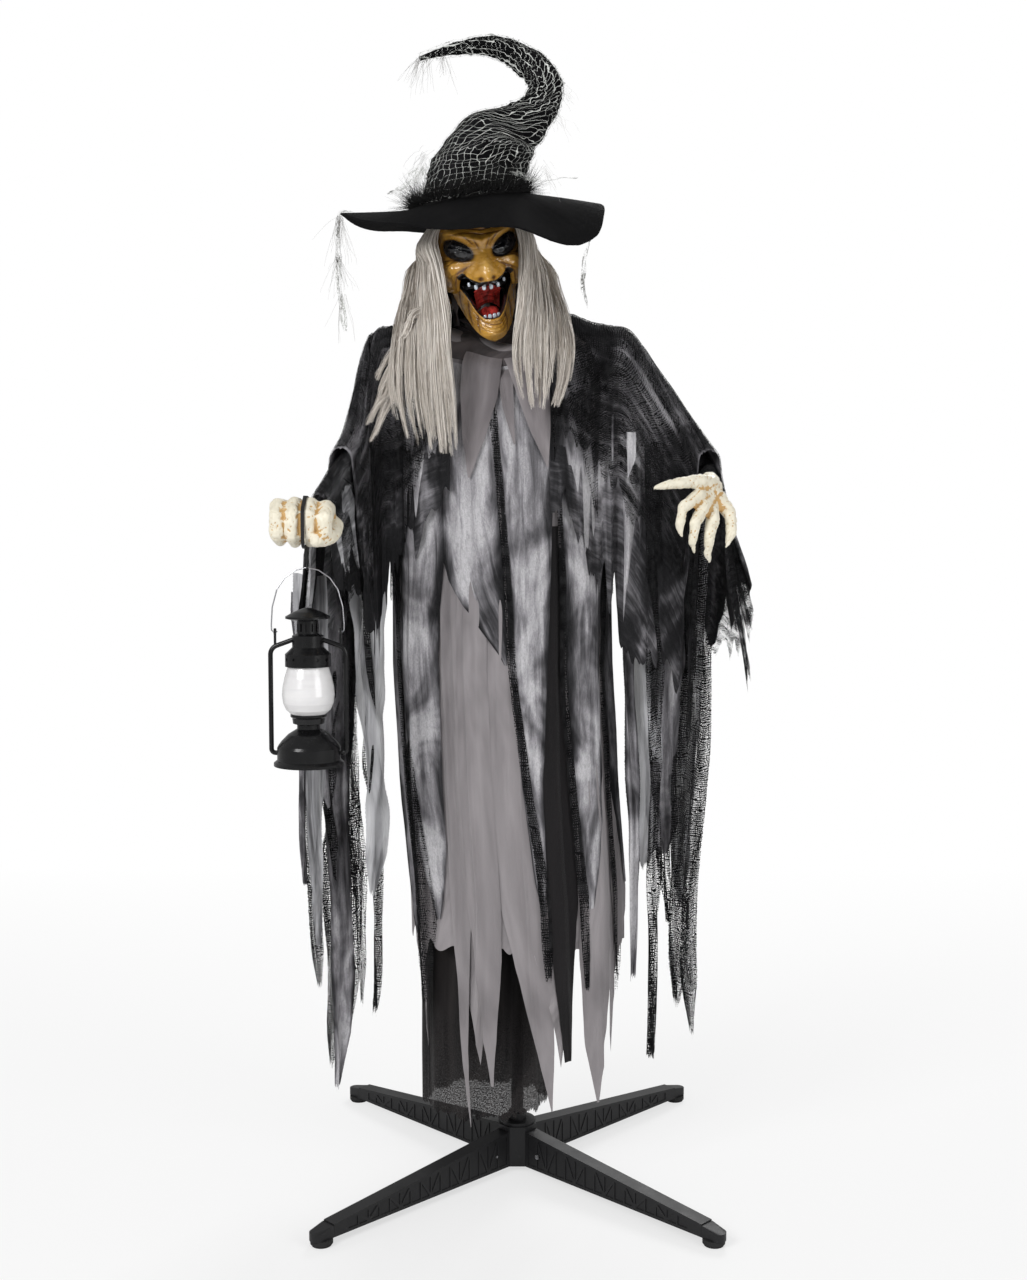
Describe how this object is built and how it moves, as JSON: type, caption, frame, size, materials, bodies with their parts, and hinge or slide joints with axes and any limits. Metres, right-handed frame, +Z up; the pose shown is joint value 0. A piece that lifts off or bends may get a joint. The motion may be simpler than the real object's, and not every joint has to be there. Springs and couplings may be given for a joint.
{
  "type": "animated witch figure",
  "caption": "Standing witch figure on a cross stand, with a tall bent hat, laughing mask with a moving jaw, ragged layered gown, a clawed hand and a hanging lantern.",
  "frame": {"origin": "on the floor, under the middle of the object, on the axis of the stand's pole", "axes": "+Z up, the figure faces -Y, +X towards the hand that reaches out empty"},
  "size_m": [0.7308, 0.6168, 1.8283],
  "materials": {
    "base_plastic": "satin",
    "pad_rubber": "matte",
    "screw_steel": "satin",
    "pole_paint": "satin",
    "box_plastic": "matte",
    "switch_plastic": "matte",
    "speaker_grey": "matte",
    "board_green": "gloss",
    "cell_wrap": "gloss",
    "motor_steel": "satin",
    "foam": "matte",
    "hood_cloth": "matte",
    "gown_cloth": "matte",
    "skirt_cloth": "matte",
    "dyed_cloth": "matte",
    "black_gauze": "matte",
    "mask_vinyl": "gloss",
    "skull_plastic": "matte",
    "eye_black": "gloss",
    "mouth_black": "satin",
    "teeth_white": "gloss",
    "tongue_red": "gloss",
    "hair_grey": "satin",
    "brim_felt": "matte",
    "crown_cloth": "matte",
    "trim_fur": "matte",
    "hand_bone": "satin",
    "tie_black": "satin",
    "bail_wire": "satin",
    "lantern_black": "satin",
    "globe_milk": "satin",
    "light_cream": "matte"
  },
  "bodies": {
    "stand": {"base_hub": "base_plastic", "leg_front_left": "base_plastic", "leg_front_right": "base_plastic", "leg_rear_left": "base_plastic", "leg_rear_right": "base_plastic", "foot_caps": "base_plastic", "foot_pads": "pad_rubber", "leg_screws": "screw_steel", "pole_lower": "pole_paint", "pole_middle": "pole_paint", "pole_upper": "pole_paint"},
    "torso": {"control_box": "box_plastic", "box_cover": "box_plastic", "speaker": "speaker_grey", "circuit_board": "board_green", "batteries": "cell_wrap", "shoulder_bar": "pole_paint", "bar_end_caps": "box_plastic", "shoulder_pads": "foam", "neck_post": "pole_paint", "head_motor": "motor_steel", "neck_cloth": "hood_cloth", "gown": "gown_cloth", "underskirt": "skirt_cloth", "dyed_panels": "dyed_cloth", "gauze_strips": "black_gauze", "chest_points": "hood_cloth"},
    "battery_door": {"battery_door": "box_plastic"},
    "mode_switch": {"mode_switch": "switch_plastic"},
    "head": {"head_hub": "box_plastic", "skull_back": "skull_plastic", "face_mask": "mask_vinyl", "eye_left": "eye_black", "eye_right": "eye_black", "mouth_lining": "mouth_black", "upper_teeth": "teeth_white", "jaw_pivots": "screw_steel", "hair_cap": "hair_grey", "hair_left": "hair_grey", "hair_right": "hair_grey", "hair_back": "hair_grey", "hat_brim": "brim_felt", "hat_crown": "crown_cloth", "hat_trim": "trim_fur"},
    "jaw": {"jaw": "mask_vinyl", "lower_teeth": "teeth_white", "tongue": "tongue_red"},
    "lantern_arm": {"lantern_arm_rod": "pole_paint", "fist": "hand_bone", "lantern_tie": "tie_black", "lantern_sleeve": "dyed_cloth"},
    "reaching_arm": {"reaching_arm_rod": "pole_paint", "claw_hand": "hand_bone", "reaching_sleeve": "black_gauze"},
    "bail": {"bail": "bail_wire"},
    "lantern": {"lantern_base": "lantern_black", "lantern_cover": "lantern_black", "lantern_cells": "cell_wrap", "lantern_light": "light_cream", "lantern_globe": "globe_milk", "lantern_chimney": "lantern_black", "lantern_frame": "lantern_black"}
  },
  "joints": [
    {"name": "torso_turn", "type": "hinge", "parent": "stand", "child": "torso", "pos_m": [0, 0, 1], "axis": [0, 0, 1], "range_deg": [-15, 15]},
    {"name": "head_turn", "type": "hinge", "parent": "torso", "child": "head", "pos_m": [-0.054, -0.005, 1.393], "axis": [0, 0, 1], "range_deg": [-15, 15], "deforming": ["hair_left", "hair_right", "hair_back"]},
    {"name": "jaw_swing", "type": "hinge", "parent": "head", "child": "jaw", "pos_m": [-0.05613, -0.02613, 1.45291], "axis": [0.9839, 0.0861, 0.1564], "range_deg": [-14, 0]},
    {"name": "lantern_arm_lift", "type": "hinge", "parent": "torso", "child": "lantern_arm", "pos_m": [-0.222, 0, 1.345], "axis": [1, 0, 0], "range_deg": [-20, 15]},
    {"name": "reaching_arm_lift", "type": "hinge", "parent": "torso", "child": "reaching_arm", "pos_m": [0.168, 0, 1.345], "axis": [1, 0, 0], "range_deg": [-25, 15]},
    {"name": "bail_swing", "type": "hinge", "parent": "lantern_arm", "child": "bail", "pos_m": [-0.307, -0.25, 1.002], "axis": [1, 0, 0], "range_deg": [-15, 8]},
    {"name": "lantern_swing", "type": "hinge", "parent": "bail", "child": "lantern", "pos_m": [-0.307, -0.25, 0.908], "axis": [1, 0, 0], "range_deg": [-18, 8]},
    {"name": "battery_door_hinge", "type": "hinge", "parent": "torso", "child": "battery_door", "pos_m": [-0.047, 0.029, 1.1032], "axis": [-1, 0, 0], "range_deg": [0, 95]},
    {"name": "mode_switch_slide", "type": "slide", "parent": "torso", "child": "mode_switch", "axis": [0, 0, 1], "range_m": [-0.005, 0.005]}
  ]
}
